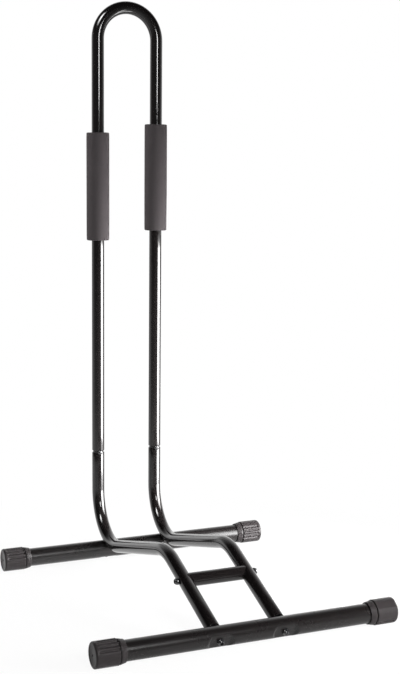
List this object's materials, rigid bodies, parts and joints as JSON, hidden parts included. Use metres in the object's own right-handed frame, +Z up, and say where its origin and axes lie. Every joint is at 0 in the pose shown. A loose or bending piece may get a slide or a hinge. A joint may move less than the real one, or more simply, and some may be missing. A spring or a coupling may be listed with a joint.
{
  "type": "floor bike rack",
  "caption": "Floor rack that holds a bicycle wheel upright between padded black steel uprights, on cross tubes with end caps.",
  "frame": {"origin": "on the floor, under the middle of the overall width and depth", "axes": "+Z up, the height; +X along the two cross tubes; -Y towards the front, where the wheel rolls in over the front cross tube"},
  "size_m": [0.45, 0.5084, 0.9],
  "materials": {
    "tube": "gloss black powder coat",
    "foam": "closed-cell foam, matt dark grey",
    "cap": "moulded dark grey plastic, matt",
    "bolt": "black oxide steel",
    "zinc": "bright zinc plate"
  },
  "bodies": {
    "root": {"hoop_tube": "tube", "foam_sleeve_left": "foam", "foam_sleeve_right": "foam", "front_tube": "tube", "rear_tube": "tube", "brace_tube": "tube", "lower_tube_left": "tube", "hoop_screw_left": "bolt", "hoop_nut_left": "zinc", "brace_bolt_left": "bolt", "brace_plug_left": "zinc", "front_bolt_left": "bolt", "front_plug_left": "zinc", "rear_bolt_left": "bolt", "rear_nut_left": "zinc", "cap_front_left": "cap", "cap_rear_left": "cap", "lower_tube_right": "tube", "hoop_screw_right": "bolt", "hoop_nut_right": "zinc", "brace_bolt_right": "bolt", "brace_plug_right": "zinc", "front_bolt_right": "bolt", "front_plug_right": "zinc", "rear_bolt_right": "bolt", "rear_nut_right": "zinc", "cap_front_right": "cap", "cap_rear_right": "cap"}
  },
  "joints": []
}
